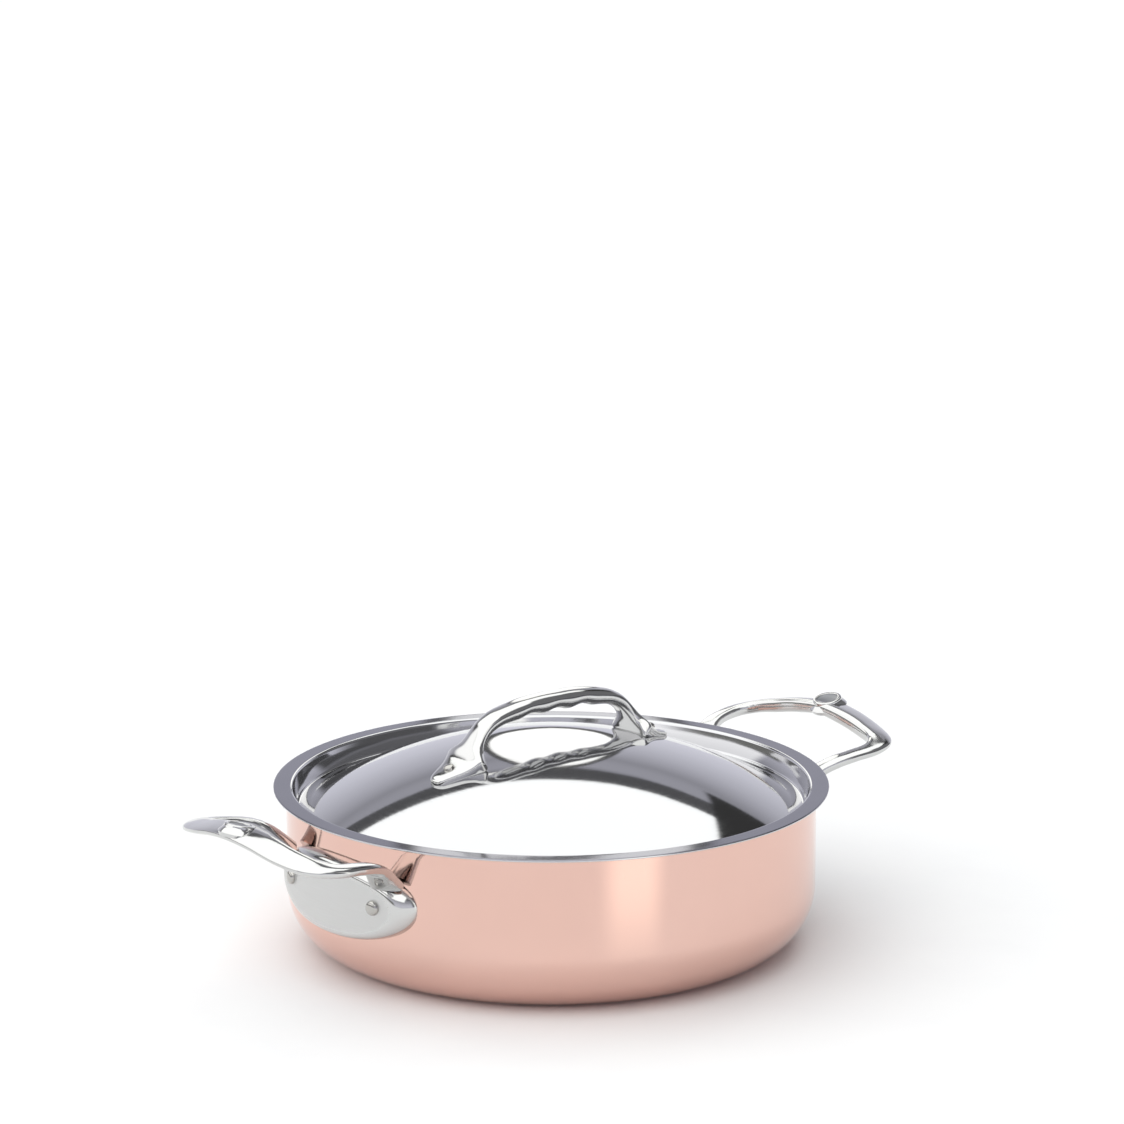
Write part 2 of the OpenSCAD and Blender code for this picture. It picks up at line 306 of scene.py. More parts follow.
def cast_material(finish):
    """Cast stainless, ground and hand polished, and linished on the flat faces that carry the satin mark.
    Polished parts swim a little, because a hand-held wheel follows the casting. A mark of 2 is the
    floor of the boss's dish, which is coloured darker."""
    material, tree, place = start_material("hand_polished_cast_steel")
    # belt grain 0.1 mm wide and 8 mm long, drawn 0.35 mm wide
    stretched = add(tree, "Mapping", {"Scale": (90.0, 90.0, 2800.0)}, {"Vector": place})
    grain = add(tree, "TexNoise", {"Scale": 1.0, "Detail": 3.0}, {"Vector": stretched.outputs[0]})
    # wheel marks some 9 mm across
    swim = add(tree, "TexNoise", {"Scale": 110.0, "Detail": 1.5}, {"Vector": place})
    mark = add(tree, "Attribute", attribute_name="satin").outputs["Fac"]
    belt = add(tree, "MapRange", {**NOISE, "To Min": 0.30, "To Max": 0.44}, {"Value": grain.outputs[0]})
    wheel = add(tree, "MapRange", {**NOISE, "To Min": 0.07, "To Max": 0.13}, {"Value": swim.outputs[0]})
    gloss = add(tree, "Mix", links={0: mark, 2: wheel.outputs[0], 3: belt.outputs[0]}, data_type="FLOAT")
    # mark 2 colours the floor of the boss's dish darker than the rest of the casting
    pickled = add(tree, "MapRange", {"From Min": 1.0, "From Max": 2.0}, {"Value": mark})
    tone = add(tree, "Mix", {6: finish.cast_steel, 7: finish.boss_steel}, {0: pickled.outputs[0]},
               data_type="RGBA")
    scratch = add(tree, "Math", links={0: grain.outputs[0], 1: mark}, operation="MULTIPLY")
    soft = add(tree, "Bump", {"Strength": 0.08, "Distance": 0.0008}, {"Height": swim.outputs[0]})
    bump = add(tree, "Bump", {"Strength": 0.22, "Distance": 0.0001},
               {"Height": scratch.outputs[0], "Normal": soft.outputs[0]})
    return finished(material, {"Metallic": 1.0},
                    {"Base Color": tone.outputs[2], "Roughness": gloss.outputs[0], "Normal": bump.outputs[0]})


def rivet_material(finish):
    """Stainless rivet, cold headed and tumbled: bright, with a faint orange-peel skin from the hammer."""
    material, tree, place = start_material("tumbled_steel_rivet")
    # peel about 0.5 mm across
    peel = add(tree, "TexNoise", {"Scale": 1900.0, "Detail": 2.0}, {"Vector": place})
    gloss = add(tree, "MapRange", {**NOISE, "To Min": 0.05, "To Max": 0.11}, {"Value": peel.outputs[0]})
    bump = add(tree, "Bump", {"Strength": 0.15, "Distance": 0.0001}, {"Height": peel.outputs[0]})
    return finished(material, {"Metallic": 1.0, "Base Color": finish.rivet_steel},
                    {"Roughness": gloss.outputs[0], "Normal": bump.outputs[0]})


def paper_material(studio):
    """White background paper, matt, with the faint mottle of its pulp."""
    material, tree, place = start_material("seamless_paper_floor")
    mottle = add(tree, "TexNoise", {"Scale": 25.0, "Detail": 3.0}, {"Vector": place})
    tint = add(tree, "Mix", {6: studio.floor_light, 7: studio.floor_deep}, {0: mottle.outputs[0]},
               data_type="RGBA")
    return finished(material, {"Specular IOR Level": 0.0, "Roughness": 1.0}, {"Base Color": tint.outputs[2]})


def shared(maker, settings):
    """The material that a maker gives, made once."""
    made = bpy.context.scene.get("pan_finishes") or {}
    name = made.get(maker.__name__)
    if name is None:
        name = maker(settings).name
        bpy.context.scene["pan_finishes"] = {**dict(made), maker.__name__: name}
    return bpy.data.materials[name]


# ------------------------------------------------------------------- sizes


def length(name, description, default, low, high):
    """A length property in metres."""
    return FloatProperty(
        name=name, description=description, default=default, min=low, max=high, unit="LENGTH", precision=4
    )


def hex_colour(name, description, text):
    """A colour property whose default is written as an sRGB hex value."""
    return FloatVectorProperty(
        name=name, description=description, default=colour(text), size=4, min=0.0, max=1.0, subtype="COLOR"
    )


class PanSize(PropertyGroup):
    """Sizes of the pan's body."""

    radius: length("Radius", "Outer radius of the body", BODY.x, 0.08, 0.2)
    height: length("Height", "Height of the rim above the table", BODY.z, 0.04, 0.12)
    corner: length("Corner radius", "Radius of the curve between wall and base", 28.5 * MM, 0.01, 0.04)
    copper: length("Copper thickness", "Thickness of the copper", 1.6 * MM, 0.001, 0.003)
    lining: length("Lining thickness", "Thickness of the steel lining", 0.4 * MM, 0.0002, 0.001)


class HandleSize(PropertyGroup):
    """Sizes of the side handles."""

    plate: length("Plate thickness", "How far the plate stands off the wall", 7 * MM, 0.004, 0.01)
    half_width: length("Plate half width", "Half the plate's width", 46.3 * MM, 0.03, 0.06)
    centre: length("Plate height", "Height of the plate's widest line", 46 * MM, 0.03, 0.06)
    above: length("Plate above", "Plate above its widest line", 16.5 * MM, 0.01, 0.025)
    below: length("Plate below", "Plate below its widest line", 19.2 * MM, 0.01, 0.025)
    reach: length("Reach", "Middle of the grip bar from the pan's axis", 174.8 * MM, 0.15, 0.2)
    rise: length("Rise", "Height of the grip bar's middle", 82.2 * MM, 0.06, 0.1)
    rivet_angle: FloatProperty(
        name="Rivet angle", description="Angle between a rivet and the handle's middle",
        default=np.radians(13.6), min=0.1, max=0.4, subtype="ANGLE",
    )
    rivet_head: length("Rivet head", "Diameter of the rivet heads outside", 6.8 * MM, 0.004, 0.01)
    boss: length("Boss", "Diameter of the plain round boss on the bar", 14 * MM, 0.008, 0.02)


class LidSize(PropertyGroup):
    """Sizes of the lid."""

    radius: length("Radius", "Outer radius of the lid's rim", LID.x, 0.09, 0.2)
    sheet: length("Sheet thickness", "Thickness of the steel sheet", 1 * MM, 0.0005, 0.002)
    rim: length("Rim height", "Height of the rim's upper side", BODY.z + 1.2 * MM, 0.05, 0.13)
    dome_radius: length("Dome radius", "Radius of the dome's foot", 112 * MM, 0.08, 0.18)
    dome_rise: length("Dome rise", "Dome above the rim", LID.z - BODY.z - 1.2 * MM, 0.01, 0.04)
    wall_foot: length("Wall foot", "Radius of the wall where it meets the gutter", 116.9 * MM, 0.08, 0.18)
    gutter: length("Gutter depth", "Depth of the groove round the dome", 9.5 * MM, 0.004, 0.015)
    handle_width: length("Grip width", "Width of the arch at its middle", 12.5 * MM, 0.008, 0.02)
    wave: length("Finger waves", "Depth of the finger waves under the arch", 1.4 * MM, 0.0, 0.002)


class Finish(PropertyGroup):
    """Colours of the metals."""

    copper_light: hex_colour("Copper, light", "Fresh copper", "#e6c1b5")
    copper_deep: hex_colour("Copper, deep", "Handled copper", "#e1baad")
    steel: hex_colour("Sheet steel", "Lid and lining", "#cdcdcf")
    # painted shade: the flat rim's steel is darkened to stand in for the darker room it reflects; its duller
    # finish is in the roughness
    rim_steel: hex_colour("Rim steel", "Darker grey of the lid's flat rim, painted shade", "#85858e")
    cast_steel: hex_colour("Cast steel", "Handles", "#cfcfce")
    # the floor of the boss's dish is coloured darker than the rest of the casting
    boss_steel: hex_colour("Boss steel", "Darker floor of the round boss's dish", "#8b8c90")
    rivet_steel: hex_colour("Rivet steel", "Rivets", "#b9b7b3")


class Studio(PropertyGroup):
    """Camera, floor and light."""

    distance: length("Camera distance", "Camera to the point it looks at", 1.764, 0.5, 5.0)
    azimuth: FloatProperty(
        name="Camera azimuth", description="Camera's side of the pan, 0 for the front",
        default=np.radians(-39.346), subtype="ANGLE",
    )
    elevation: FloatProperty(
        name="Camera elevation", description="Camera above the table", default=np.radians(12.351),
        subtype="ANGLE",
    )
    target: FloatVectorProperty(
        name="Camera target", description="Point the camera looks at", default=(0.00383, -0.00314, 0.17829),
        subtype="XYZ", unit="LENGTH",
    )
    lens: FloatProperty(name="Lens", description="Focal length in millimetres", default=123.95, min=20.0)
    floor_light: hex_colour("Floor, light", "Paper", "#fbfbfb")
    floor_deep: hex_colour("Floor, deep", "Paper's mottle", "#f6f6f7")


# --------------------------------------------------------------- the pieces

# radii of the two bends in the lid's sheet, at the top and the foot of its wall
LID_BEND, LID_CREASE = 1.5 * MM, 1.4 * MM
# distance of the lid's rivets from its axis
RIVET_STAND = 58.5 * MM
# where the rim's satin finish and its painted shade begin and how far they take to come up
SATIN_FROM, SATIN_OVER = 119.9 * MM, 0.5 * MM


def pan_curve(pan, inset):
    """Outside of the body from the axis to the rim, moved inwards by inset: flat base, corner arc, wall."""
    flat = np.stack([np.linspace(0, pan.radius - pan.corner, 8), np.full(8, inset)], 1)[:-1]
    corner = arc(pan.radius - pan.corner, pan.corner, pan.corner - inset, 270, 360, 32)
    wall = np.stack([np.full(11, pan.radius - inset), np.linspace(pan.corner, pan.height, 12)[1:]], 1)
    return np.concatenate([flat, corner, wall])


def rounded_rim(outside, inside, r):
    """Joins an outer and an inner curve at the rim with two small rounded edges of radius r."""
    (xo, zo), (xi, zi) = outside[-1], inside[-1]
    return np.concatenate(
        [outside[:-1], arc(xo - r, zo - r, r, 0, 90, 4), arc(xi + r, zi - r, r, 90, 180, 4), inside[-2::-1]]
    )


def dome_ball(lid):
    """Radius of the sphere that the dome is part of, and the height of its middle above the rim."""
    rise = lid.dome_rise + lid.gutter
    ball = (lid.dome_radius**2 + rise**2) / (2 * rise)
    return ball, lid.dome_rise - ball


def lid_curve(lid, pan, inset):
    """Upper side of the lid from the rim to the axis, moved down by inset: flat rim, bend, wall, crease,
    gutter floor and dome, which is part of a sphere."""
    inner = pan.radius - pan.copper - pan.lining
    bend, crease = LID_BEND, LID_CREASE
    floor = lid.rim - lid.gutter
    ball, middle = dome_ball(lid)
    flat = np.stack([np.linspace(lid.radius, inner + 1.6 * MM, 6), np.full(6, lid.rim - inset)], 1)
    a = np.arcsin(lid.dome_radius / ball) * np.linspace(1, 0, 73)
    dome = np.stack([(ball - inset) * np.sin(a), lid.rim + middle + (ball - inset) * np.cos(a)], 1)
    return np.concatenate(
        [
            flat,
            arc(inner + 0.25 * MM, lid.rim - bend, bend - inset, 90, 170, 14),
            arc(lid.wall_foot - crease, floor + crease, crease + inset, -10, -80, 10),
            dome,
        ]
    )


def plate_sheet(size, pan, turn):
    """The handle's plate: an oval lying on the wall's cylinder. From the middle of the front it runs out
    to the rounded edge, a quarter of an ellipse as deep as the plate, and back behind to the wall."""
    n = 144
    c, s = bulge(np.linspace(0, 2 * np.pi, n, endpoint=False), 0.9)
    face = np.linspace(0.04, 1, 26)[:-1]
    b = np.radians(np.linspace(0, 90, 15))
    back = np.array([0.97, 0.5, 0.05])
    scale = np.concatenate([face, np.ones(15), back])[:, None]
    shrink = np.concatenate([np.ones(25), 1 - np.sin(b), np.zeros(3)])[:, None]
    depth = np.concatenate([np.zeros(25), 1 - np.cos(b), np.full(3, 1.04)])[:, None]
    y = c * scale * (size.half_width - 6.5 * MM * shrink)
    upper, lower = size.above - 4.5 * MM * shrink, size.below - 3.6 * MM * shrink
    z = size.centre + scale * s * np.where(s > 0, upper, lower)
    rho = pan.radius + size.plate * (1 - depth)
    x = np.sqrt(rho**2 - y**2)
    satin = np.concatenate([np.ones(24), [0.8, 0.45, 0.2], np.zeros(16)])[:, None]
    points = np.stack([x * turn, y * turn, z], -1)
    caps = [points[0].mean(0), points[-1].mean(0)]
    return {"points": points, "caps": caps, "satin": satin}


def loop_rows(size):
    """Path of the grip loop from one shoulder of the plate round to the other, in metres and degrees."""
    gx, gz = size.reach / MM, size.rise / MM
    half = [
        [121.5, 35.5, 57.0, 16.0, 6.0, 0, 0], [126.2, 38.3, 61.8, 13.6, 5.8, 0, 0],
        [131.0, 41.4, 66.2, 11.2, 5.6, 1, 0], [137, 44.8, 69.4, 9.4, 5.4, 2, 0.05],
        [146, 47.6, 71.5, 8.5, 5, 3, 0.1], [158.5, 48.6, 73.1, 9.5, 5.2, 3, 0.2],
        [167.8, 43.2, 74.8, 12, 5.6, 4, 0.35], [172.2, 30.5, 77.3, 13.5, 6.0, 2, 0.45],
        [gx - 0.8, 15, gz - 1.9, 14.5, 6.2, 0, 0.42], [gx, 0, gz - 0.5, 15, 6.0, 0, 0.36],
    ]
    rows = spline(mirrored(half, 1), 14)
    rows[:, :5] *= MM
    return rows


def boss_sheet(size, turn):
    """The plain round boss on the bar: a flared foot, a turned rim and a shallow flat dish."""
    r = size.boss / 2
    profile = np.concatenate(
        [
            [[0, 3.75 * MM], [r - 1.9 * MM, 3.75 * MM]],
            arc(r - 1.5 * MM, 3.9 * MM, 0.35 * MM, 200, 90, 5),
            arc(r - 0.75 * MM, 3.5 * MM, 0.75 * MM, 90, 0, 6),
            [[r + 0.05 * MM, 2.8 * MM], [r + 0.5 * MM, 2.1 * MM], [r + 1.3 * MM, 1.4 * MM],
             [r + 2.2 * MM, 0.2 * MM], [r + 1.5 * MM, -1.5 * MM], [0, -2 * MM]],
        ]
    )
    lean = Matrix.Rotation(-turn * np.radians(13.5), 4, "Y")
    sheet = turned(profile, 72, Matrix.Translation((turn * size.reach, 0, size.rise)) @ lean)
    # the floor of the dish carries mark 2, which colours it darker
    sheet["satin"] = (np.arange(len(sheet["points"])) < 2)[:, None] * 2.0
    return sheet


def arch_rows(lid):
    """Guide curves of the lid's handle from foot to foot, in metres: from the foot's tip up the leg and
    along the arch, as far as the middle, and its mirror image."""
    w = lid.handle_width / MM / 2
    # outer guide x, z; inner guide x, z; half width; power of the section's outer and inner half
    half = np.array([
        [68.5, 11.3, 68.5, 9.8, 0.6, 0.85, 0.6], [68.2, 12.2, 68.2, 9.5, 2.2, 0.8, 0.4],
        [67.1, 13.2, 67.1, 9.8, 4.0, 0.72, 0.25], [65.0, 14.3, 65.0, 10.5, 5.3, 0.64, 0.2],
        [61.5, 15.6, 61.5, 11.5, 6.8, 0.6, 0.2], [58.2, 16.8, 58.0, 12.4, 8.2, 0.6, 0.2],
        [55.6, 18.1, 54.3, 13.3, 9.6, 0.6, 0.2], [53.7, 19.4, 51.0, 14.1, 10.9, 0.6, 0.2],
        [52.3, 20.9, 48.4, 14.7, 12.0, 0.62, 0.2], [51.2, 22.4, 46.2, 15.4, 12.4, 0.66, 0.25],
        [50.2, 23.9, 45.4, 17.9, 10.4, 0.72, 0.4], [48.9, 25.7, 44.4, 20.6, 8.0, 0.8, 0.65],
        [47.2, 28.0, 42.85, 23.5, 6.6, 0.85, 0.85], [44.7, 31.2, 40.6, 26.5, 5.8, 0.85, 0.85],
        [41.3, 34.6, 37.7, 29.0, 5.6, 0.85, 0.85], [36.6, 37.4, 33.6, 31.0, 5.75, 0.85, 0.85],
        [30.4, 39.6, 28.6, 32.2, 6.0, 0.85, 0.85], [15.4, 42.1, 14.6, 33.3, w, 0.85, 0.85],
        [0, 42.6, 0, 33.6, w, 0.85, 0.85],
    ])
    rows = spline(mirrored(half, 0, 2), 12)
    # a running mean over 11 rows takes the last kinks out of the fillets
    padded = np.concatenate([rows[:1]] * 5 + [rows] + [rows[-1:]] * 5)
    total = np.cumsum(np.concatenate([0 * rows[:1], padded]), 0)
    rows = (total[11:] - total[:-11]) / 11
    # finger waves: a squared cosine along the middle of the inner side, one wave each 15.4 mm
    x, pitch = rows[:, 2], 15.4
    rows[:, 3] += lid.wave / MM * np.cos(np.pi * x / pitch) ** 2 * (np.abs(x) < 1.5 * pitch)
    rows[:, :5] *= MM
    rows[:, [1, 3]] += lid.rim
    return rows


def head_curve(d, h, seat, n=12):
    """Outline of a low round head from its middle to its edge: a squared quarter oval above a seat."""
    c, s = bulge(np.linspace(np.pi / 2, 0, n + 1), 0.75)
    return np.stack([d / 2 * c, seat + h * s], 1)


def rivet_sheet(outer, inner, shank, place):
    """A rivet: outer head, shank and inner head turned round its own axis. outer and inner are the
    diameter, height and seat of each head."""
    top, bottom = head_curve(*outer), head_curve(inner[0], inner[1], 0)
    bottom[:, 1] = inner[2] - bottom[:, 1]
    step = 0.35 * MM
    profile = np.concatenate(
        [top, [[outer[0] / 2, outer[2] - step], [shank / 2, outer[2] - step]],
         [[shank / 2, inner[2] + step], [inner[0] / 2, inner[2] + step]], bottom[::-1]]
    )
    return turned(profile, 48, place)


class PAN_OT_body(Operator):
    """Make the copper body and its steel lining"""

    bl_idname = "saute_pan.body"
    bl_label = "Body and lining"

    def execute(self, context):
        pan, finish = context.scene.pan_size, context.scene.pan_finish
        outer, joint = pan_curve(pan, 0), pan_curve(pan, pan.copper)
        inner = pan_curve(pan, pan.copper + pan.lining)
        copper = rounded_rim(outer, joint, 0.35 * MM)
        lining = rounded_rim(joint, inner, 0.12 * MM)
        make_piece("body_copper", [turned(copper, 320)], shared(copper_material, finish),
                   "pan", "copper_body")
        make_piece("body_lining", [turned(lining, 320)], shared(lining_material, finish),
                   "pan", "steel_lining")
        return {"FINISHED"}


class PAN_OT_side_handles(Operator):
    """Make both cast side handles: plate, grip loop and plain boss"""

    bl_idname = "saute_pan.side_handles"
    bl_label = "Side handles"

    def execute(self, context):
        pan, size = context.scene.pan_size, context.scene.handle_size
        for name, turn in (("right_handle", 1), ("left_handle", -1)):
            loop = strap(loop_rows(size), 48, 0.7)
            loop["points"] = loop["points"] * [turn, turn, 1]
            loop["caps"] = [cap * [turn, turn, 1] for cap in loop["caps"]]
            sheets = [plate_sheet(size, pan, turn), loop, boss_sheet(size, turn)]
            make_piece(name + "_cast", sheets, shared(cast_material, context.scene.pan_finish),
                       "pan", name)
        return {"FINISHED"}


class PAN_OT_handle_rivets(Operator):
    """Make the four rivets that hold the side handles"""

    bl_idname = "saute_pan.handle_rivets"
    bl_label = "Handle rivets"

    def execute(self, context):
        pan, size = context.scene.pan_size, context.scene.handle_size
        inside = pan.radius - pan.copper - pan.lining
        for side, turn in (("right", 0.0), ("left", np.pi)):
            for end, sign in (("front", -1), ("rear", 1)):
                angle = turn + sign * size.rivet_angle * (1 if side == "right" else -1)
                place = (
                    Matrix.Rotation(angle, 4, "Z") @ Matrix.Translation((0, 0, size.centre))
                    @ Matrix.Rotation(np.pi / 2, 4, "Y")
                )
                rivet = rivet_sheet(
                    (size.rivet_head, 2.3 * MM, pan.radius + size.plate - 0.2 * MM),
                    (10 * MM, 1.8 * MM, inside + 0.1 * MM), 5 * MM, place,
                )
                name = f"{side}_handle_rivet_{end}"
                make_piece(name + "_headed", [rivet], shared(rivet_material, context.scene.pan_finish),
                           "pan", name)
        return {"FINISHED"}


class PAN_OT_lid(Operator):
    """Make the domed lid with its gutter and flat rim"""

    bl_idname = "saute_pan.lid"
    bl_label = "Lid"

    def execute(self, context):
        lid, pan = context.scene.lid_size, context.scene.pan_size
        upper, under = lid_curve(lid, pan, 0), lid_curve(lid, pan, lid.sheet)
        r = lid.sheet * 0.45
        top = arc(lid.radius - r, lid.rim - r, r, 90, 0, 5)
        bottom = arc(lid.radius - r, lid.rim - lid.sheet + r, r, 0, -90, 5)
        profile = np.concatenate([under[:0:-1], bottom[::-1], top[::-1], upper[1:]])
        sheet = turned(profile, 400)
        radius = np.linalg.norm(sheet["points"][:, :1, :2], axis=-1)
        on_top = sheet["points"][:, :1, 2] > lid.rim - 0.2 * MM
        # the satin mark dulls the flat rim and also brings in its painted shade colour
        sheet["satin"] = np.clip((radius - SATIN_FROM) / SATIN_OVER, 0, 1) * on_top
        make_piece("lid_dome", [sheet], shared(lid_material, context.scene.pan_finish),
                   "lid", "lid_shell")
        return {"FINISHED"}


class PAN_OT_lid_handle(Operator):
    """Make the cast arch handle, its flared legs and feet"""

    bl_idname = "saute_pan.lid_handle"
    bl_label = "Lid handle"

    def execute(self, context):
        lid = context.scene.lid_size
        steel = shared(cast_material, context.scene.pan_finish)
        make_piece("lid_handle_cast", [between(arch_rows(lid), 48)], steel, "lid", "lid_handle")
        return {"FINISHED"}


class PAN_OT_lid_rivets(Operator):
    """Make the two rivets that hold the lid handle"""

    bl_idname = "saute_pan.lid_rivets"
    bl_label = "Lid rivets"

    def execute(self, context):
        lid = context.scene.lid_size
        ball, middle = dome_ball(lid)
        lean = np.arcsin(RIVET_STAND / ball)
        for side, turn in (("right", 0.0), ("left", np.pi)):
            place = (
                Matrix.Rotation(turn, 4, "Z") @ Matrix.Translation((0, 0, lid.rim + middle))
                @ Matrix.Rotation(lean, 4, "Y")
            )
            rivet = rivet_sheet((5.4 * MM, 2.2 * MM, ball + 3.2 * MM), (9 * MM, 1.2 * MM, ball - lid.sheet),
                                4 * MM, place)
            make_piece(side + "_lid_rivet_headed", [rivet], shared(rivet_material, context.scene.pan_finish),
                       "lid", side + "_lid_rivet")
        return {"FINISHED"}


# half the side of the floor in metres, and the warm white of the cards
FLOOR_HALF = 14.0
GLOW = (1.0, 1.0, 0.97, 1.0)


def window(tree, value, low, high, soft):
    """1 where the value lies between low and high and 0 outside, with soft edges."""
    rise = add(tree, "MapRange", {"From Min": low - soft, "From Max": low + soft}, {"Value": value},
               interpolation_type="SMOOTHSTEP").outputs[0]
    fall = add(tree, "MapRange", {"From Min": high + soft, "From Max": high - soft}, {"Value": value},
               interpolation_type="SMOOTHSTEP").outputs[0]
    return add(tree, "Math", links={0: rise, 1: fall}, operation="MULTIPLY").outputs[0]


def light_room(scene, studio):
    """Soft studio room as a world: grey walls that darken upwards, a large panel overhead, a soft panel on
    the left and dark walls ahead and on the right. Cameras see it plain white."""
    world = bpy.data.worlds.new("soft_studio")
    scene.world = world
    world.use_nodes = True
    tree = world.node_tree
    tree.nodes.clear()
    way = add(tree, "TexCoord").outputs["Generated"]
    turned_way = add(tree, "VectorRotate", {"Angle": -studio.azimuth}, {"Vector": way},
                     rotation_type="Z_AXIS").outputs[0]
    axes = add(tree, "SeparateXYZ", links={0: turned_way})
    x, y, z = axes.outputs
    elevation = add(tree, "Math", links={0: z}, operation="ARCSINE").outputs[0]
    azimuth = add(tree, "Math", links={0: x, 1: y}, operation="ARCTAN2").outputs[0]
    height = add(tree, "Math", {1: 0.05}, {0: z}, operation="MAXIMUM").outputs[0]
    u = add(tree, "Math", links={0: x, 1: height}, operation="DIVIDE")
    v = add(tree, "Math", links={0: y, 1: height}, operation="DIVIDE")
    climb = add(tree, "MapRange", {"From Max": np.radians(90)}, {"Value": elevation})
    walls = add(tree, "ValToRGB", links={0: climb.outputs[0]})
    # wall brightness by height above the floor, in degrees
    stops = [(0, 0.8), (10, 0.76), (15, 0.7), (20, 0.62), (24, 0.52), (28, 0.38), (31, 0.45), (34, 0.47),
             (37, 0.2), (90, 0.12)]
    ramp = walls.color_ramp
    while len(ramp.elements) < len(stops):
        ramp.elements.new(1.0)
    for element, (at, grey) in zip(ramp.elements, stops):
        element.position = at / 90
        element.color = (grey * 0.97, grey * 0.97, grey * 1.08, 1)  # painted a cool grey
    level = walls.outputs[0]
    # each panel: what it is measured by, its limits there with their softness, and its light. u and v run
    # across and along a ceiling one metre up, the others are angles
    side = {"u": u.outputs[0], "v": v.outputs[0], "azimuth": azimuth, "elevation": elevation}
    turn = np.radians(1)
    panels = [
        # dark wall ahead and above the horizon, and to the right
        ("u", (-1.5, 1.5, 0.02), "v", (0.6, 1.38, 0.02), (0.11, 0.11, 0.115, 1)),
        ("u", (0.59, 1.6, 0.02), "v", (-0.5, 1.65, 0.03), (0.05, 0.05, 0.05, 1)),
        # overhead panel
        ("u", (-1.1, 0.59, 0.012), "v", (-1.7, 1.12, 0.012), (1.62, 1.64, 1.62, 1)),
        # soft panel on the left, with a dark foot
        ("azimuth", (-135 * turn, -62 * turn, 0.08), "elevation", (11 * turn, 42 * turn, 0.04),
         (1.55, 1.55, 1.55, 1)),
        ("azimuth", (-150 * turn, -50 * turn, 0.08), "elevation", (-2 * turn, 11 * turn, 0.03),
         (0.22, 0.22, 0.21, 1)),
        # darker side on the right
        ("azimuth", (42 * turn, 128 * turn, 0.1), "elevation", (3 * turn, 20 * turn, 0.05),
         (0.12, 0.12, 0.125, 1)),
        ("azimuth", (42 * turn, 128 * turn, 0.1), "elevation", (20 * turn, 60 * turn, 0.05),
         (0.2, 0.2, 0.21, 1)),
    ]
    for first, across, second, along, light in panels:
        masks = window(tree, side[first], *across), window(tree, side[second], *along)
        mask = add(tree, "Math", links={0: masks[0], 1: masks[1]}, operation="MULTIPLY")
        level = add(tree, "Mix", {7: light}, {0: mask.outputs[0], 6: level}, data_type="RGBA").outputs[2]
    seen = add(tree, "LightPath").outputs["Is Camera Ray"]
    plain = add(tree, "Mix", {7: (1, 1, 1, 1)}, {0: seen, 6: level}, data_type="RGBA")
    sky = add(tree, "Background", {"Strength": 1.0}, {"Color": plain.outputs[2]})
    add(tree, "OutputWorld", links={"Surface": sky.outputs[0]})


def light_card(studio, name, azimuth, distance, low, high, half, strength, shape):
    """A glowing card that stands upright from low to high at an azimuth in degrees, measured from the
    camera's line of sight. Only reflections show it. shape gives its mask and its colour from coordinates
    across and up, each from -1 to 1."""
    a, way = studio.azimuth, np.radians(azimuth)
    right, ahead = np.array([np.cos(a), np.sin(a), 0]), np.array([-np.sin(a), np.cos(a), 0])
    out = right * np.sin(way) + ahead * np.cos(way)
    side, up = np.cross([0, 0, 1], out), np.array([0, 0, 1.0])
    middle = out * distance + up * (low + high) / 2
    rise = (high - low) / 2
    corners = [middle + side * half * i + up * rise * k for i, k in ((-1, -1), (1, -1), (1, 1), (-1, 1))]
    material, tree, place = start_material(name + "_cloth")
    level = add(tree, "VectorMath", {1: tuple(middle)}, {0: place}, operation="SUBTRACT").outputs[0]
    across = add(tree, "VectorMath", {1: tuple(side / half)}, {0: level}, operation="DOT_PRODUCT")
    along = add(tree, "VectorMath", {1: tuple(up / rise)}, {0: level}, operation="DOT_PRODUCT")
    mask, tone = shape(tree, across.outputs["Value"], along.outputs["Value"])
    glow = add(tree, "Emission", {"Strength": strength}, {"Color": tone})
    clear = add(tree, "BsdfTransparent")
    mix = add(tree, "MixShader", links={0: mask, 1: clear.outputs[0], 2: glow.outputs[0]})
    add(tree, "OutputMaterial", links={"Surface": mix.outputs[0]})
    card = stage_quad(name, corners, material)
    card.visible_camera = card.visible_diffuse = card.visible_shadow = False


def tall_strip(tree, across, along):
    """A strip that is lit evenly and fades to both sides and at its foot."""
    sides, foot = window(tree, across, -0.6, 0.6, 0.35), window(tree, along, -0.8, 2, 0.2)
    lit = add(tree, "RGB")
    lit.outputs[0].default_value = GLOW
    mask = add(tree, "Math", links={0: sides, 1: foot}, operation="MULTIPLY")
    return mask.outputs[0], lit.outputs[0]


def oval_window(tree, across, along):
    """An oval, lit inside 0.87 of its size and dark in the frame outside that."""
    flat = add(tree, "CombineXYZ", links={0: across, 1: along})
    radius = add(tree, "VectorMath", links={0: flat.outputs[0]}, operation="LENGTH").outputs["Value"]
    pane = window(tree, radius, -0.87, 0.87, 0.02)
    tone = add(tree, "Mix", {6: (0.06, 0.06, 0.06, 1), 7: GLOW}, {0: pane}, data_type="RGBA")
    return window(tree, radius, -0.98, 0.98, 0.02), tone.outputs[2]


def stage_quad(name, corners, material):
    """One flat face of the stage, from its four corners."""
    mesh = bpy.data.meshes.new(name)
    mesh.from_pydata([tuple(c) for c in corners], [], [(0, 1, 2, 3)])
    mesh.materials.append(material)
    quad = bpy.data.objects.new(name, mesh)
    bpy.context.scene.collection.objects.link(quad)
    return quad


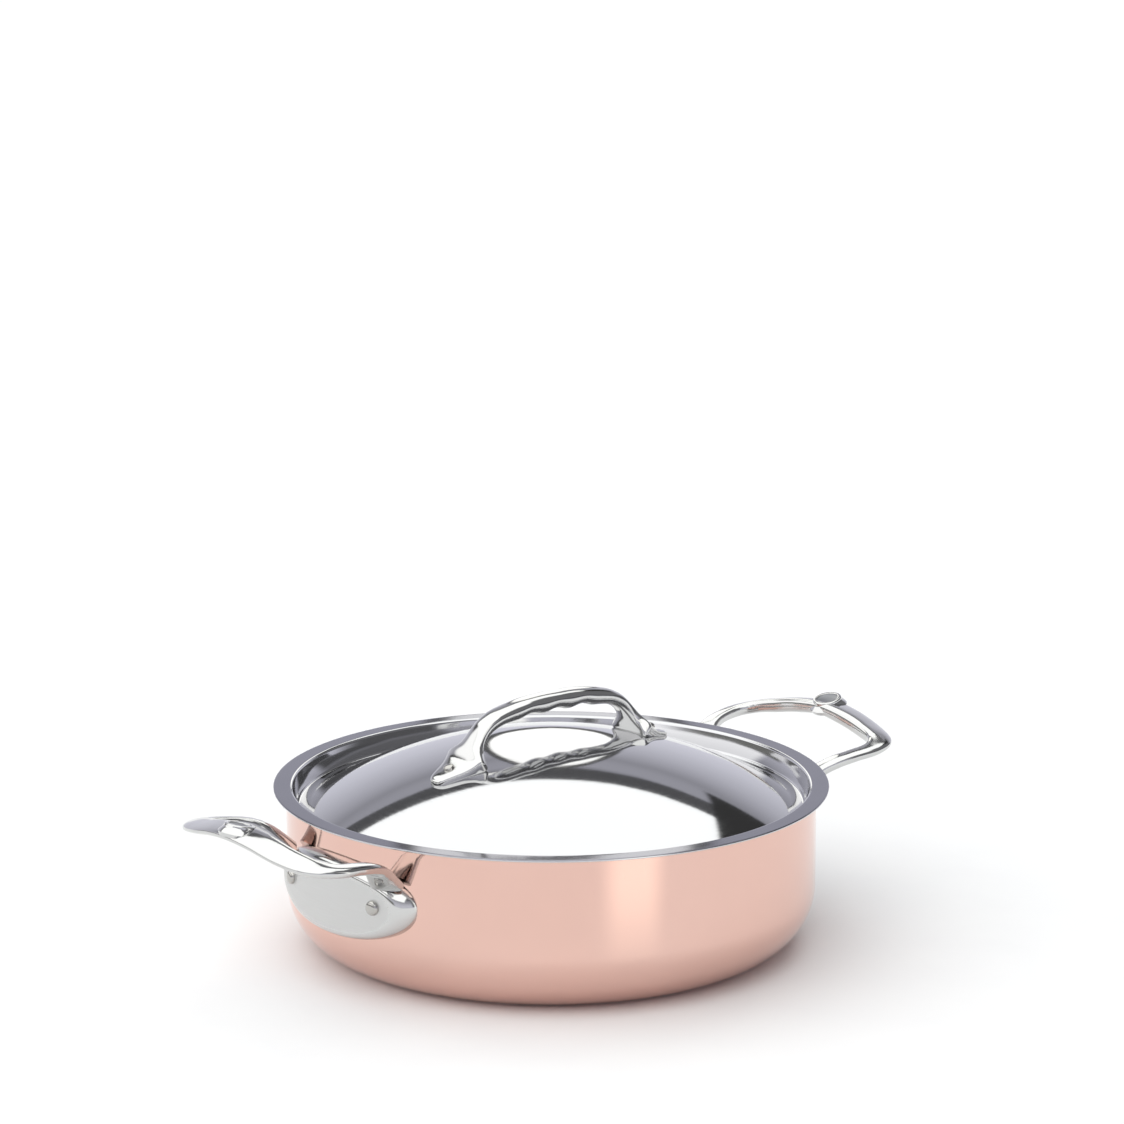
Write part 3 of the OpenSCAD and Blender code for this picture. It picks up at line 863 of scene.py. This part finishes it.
class PAN_OT_studio(Operator):
    """Make the floor, the soft room light and the camera"""

    bl_idname = "saute_pan.studio"
    bl_label = "Studio"

    def execute(self, context):
        scene, studio = context.scene, context.scene.studio
        half = FLOOR_HALF
        stage_quad("paper_floor", [(-half, -half, 0), (half, -half, 0), (half, half, 0), (-half, half, 0)],
                   paper_material(studio))
        light_room(scene, studio)
        # azimuth, distance, foot, top, half width, strength
        light_card(studio, "strip_card", 157.6, 0.168, 0.0, 0.25, 0.034, 1.45, tall_strip)
        light_card(studio, "window_card", 0, 0.60, 0.112, 0.575, 0.104, 1.6, oval_window)
        lens = bpy.data.cameras.new("studio_camera")
        lens.lens, lens.sensor_width, lens.clip_end = studio.lens, 36.0, 60.0
        camera = bpy.data.objects.new("studio_camera", lens)
        scene.collection.objects.link(camera)
        a, e = studio.azimuth, studio.elevation
        back = Vector((np.sin(a) * np.cos(e), -np.cos(a) * np.cos(e), np.sin(e)))
        camera.location = Vector(studio.target) + back * studio.distance
        camera.rotation_euler = (-back).to_track_quat("-Z", "Y").to_euler()
        scene.camera = camera
        scene.view_settings.view_transform = "Standard"
        return {"FINISHED"}


class PAN_PT_sidebar(Panel):
    """Sizes, finishes and the steps that build the pan"""

    bl_idname = "PAN_PT_sidebar"
    bl_label = "Saute pan"
    bl_space_type = "VIEW_3D"
    bl_region_type = "UI"
    bl_category = "Saute pan"

    def draw(self, context):
        for group in GROUPS:
            box = self.layout.box()
            settings = getattr(context.scene, group)
            for name in settings.__annotations__:
                box.prop(settings, name)
        for step in STEPS:
            self.layout.operator(step.bl_idname)


GROUPS = {"pan_size": PanSize, "handle_size": HandleSize, "lid_size": LidSize, "pan_finish": Finish,
          "studio": Studio}
STEPS = [PAN_OT_body, PAN_OT_side_handles, PAN_OT_handle_rivets, PAN_OT_lid, PAN_OT_lid_handle,
         PAN_OT_lid_rivets, PAN_OT_studio]


def register():
    """Adds the groups of sizes, the operators and the panel to Blender."""
    for cls in (*GROUPS.values(), *STEPS, PAN_PT_sidebar):
        bpy.utils.register_class(cls)
    for name, cls in GROUPS.items():
        setattr(bpy.types.Scene, name, PointerProperty(type=cls))


def unregister():
    """Takes them away again."""
    for name in GROUPS:
        delattr(bpy.types.Scene, name)
    for cls in reversed((*GROUPS.values(), *STEPS, PAN_PT_sidebar)):
        bpy.utils.unregister_class(cls)


def main():
    """Builds every piece and the stage in order."""
    register()
    for step in (
        bpy.ops.saute_pan.body, bpy.ops.saute_pan.side_handles, bpy.ops.saute_pan.handle_rivets,
        bpy.ops.saute_pan.lid, bpy.ops.saute_pan.lid_handle, bpy.ops.saute_pan.lid_rivets,
        bpy.ops.saute_pan.studio,
    ):
        step()


if __name__ == "__main__":
    main()
